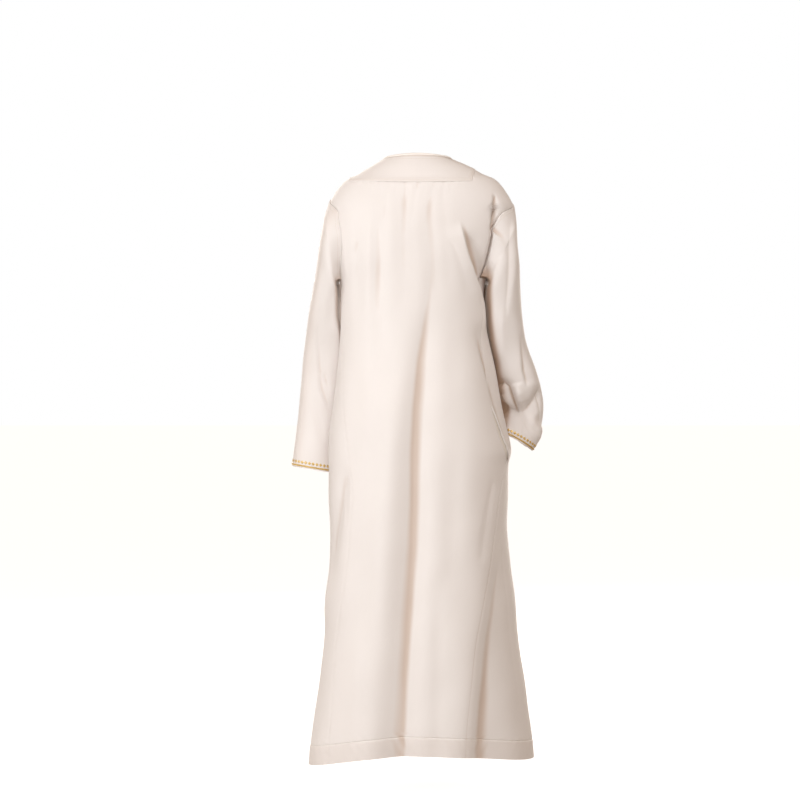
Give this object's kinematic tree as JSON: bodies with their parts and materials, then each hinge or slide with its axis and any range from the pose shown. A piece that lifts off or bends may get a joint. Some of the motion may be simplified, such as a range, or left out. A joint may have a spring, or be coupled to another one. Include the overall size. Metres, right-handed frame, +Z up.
{
  "type": "kurta",
  "caption": "Ankle-length collarless kurta for a child, in its worn form, with a gathered back yoke, long sleeves, side gores and gold cuff braid.",
  "frame": {"origin": "centre of the neck opening at shoulder level, where the wearer's shoulders hold it", "axes": "+Z up along the garment's length, +X to the wearer's left, +Y out of the back"},
  "size_m": [0.51, 0.3137, 1.2155],
  "materials": {
    "satin": "ivory satin-faced cloth with a soft sheen and a fine weave",
    "bound_edge": "ivory satin binding, pressed and edge-stitched",
    "pocketing": "matt ivory pocketing",
    "gold_braid": "gold metallic thread braid",
    "pearl_button": "small pearly ivory button"
  },
  "bodies": {
    "root": {"yoke": "satin", "back": "satin", "front": "satin", "gore_left": "satin", "gore_right": "satin", "sleeve_left": "satin", "sleeve_right": "satin", "pocket_right": "pocketing", "neck_binding": "bound_edge", "placket": "satin", "button_1": "pearl_button", "button_2": "pearl_button", "button_3": "pearl_button", "cuff_braid_left": "gold_braid", "cuff_braid_right": "gold_braid"}
  },
  "joints": []
}
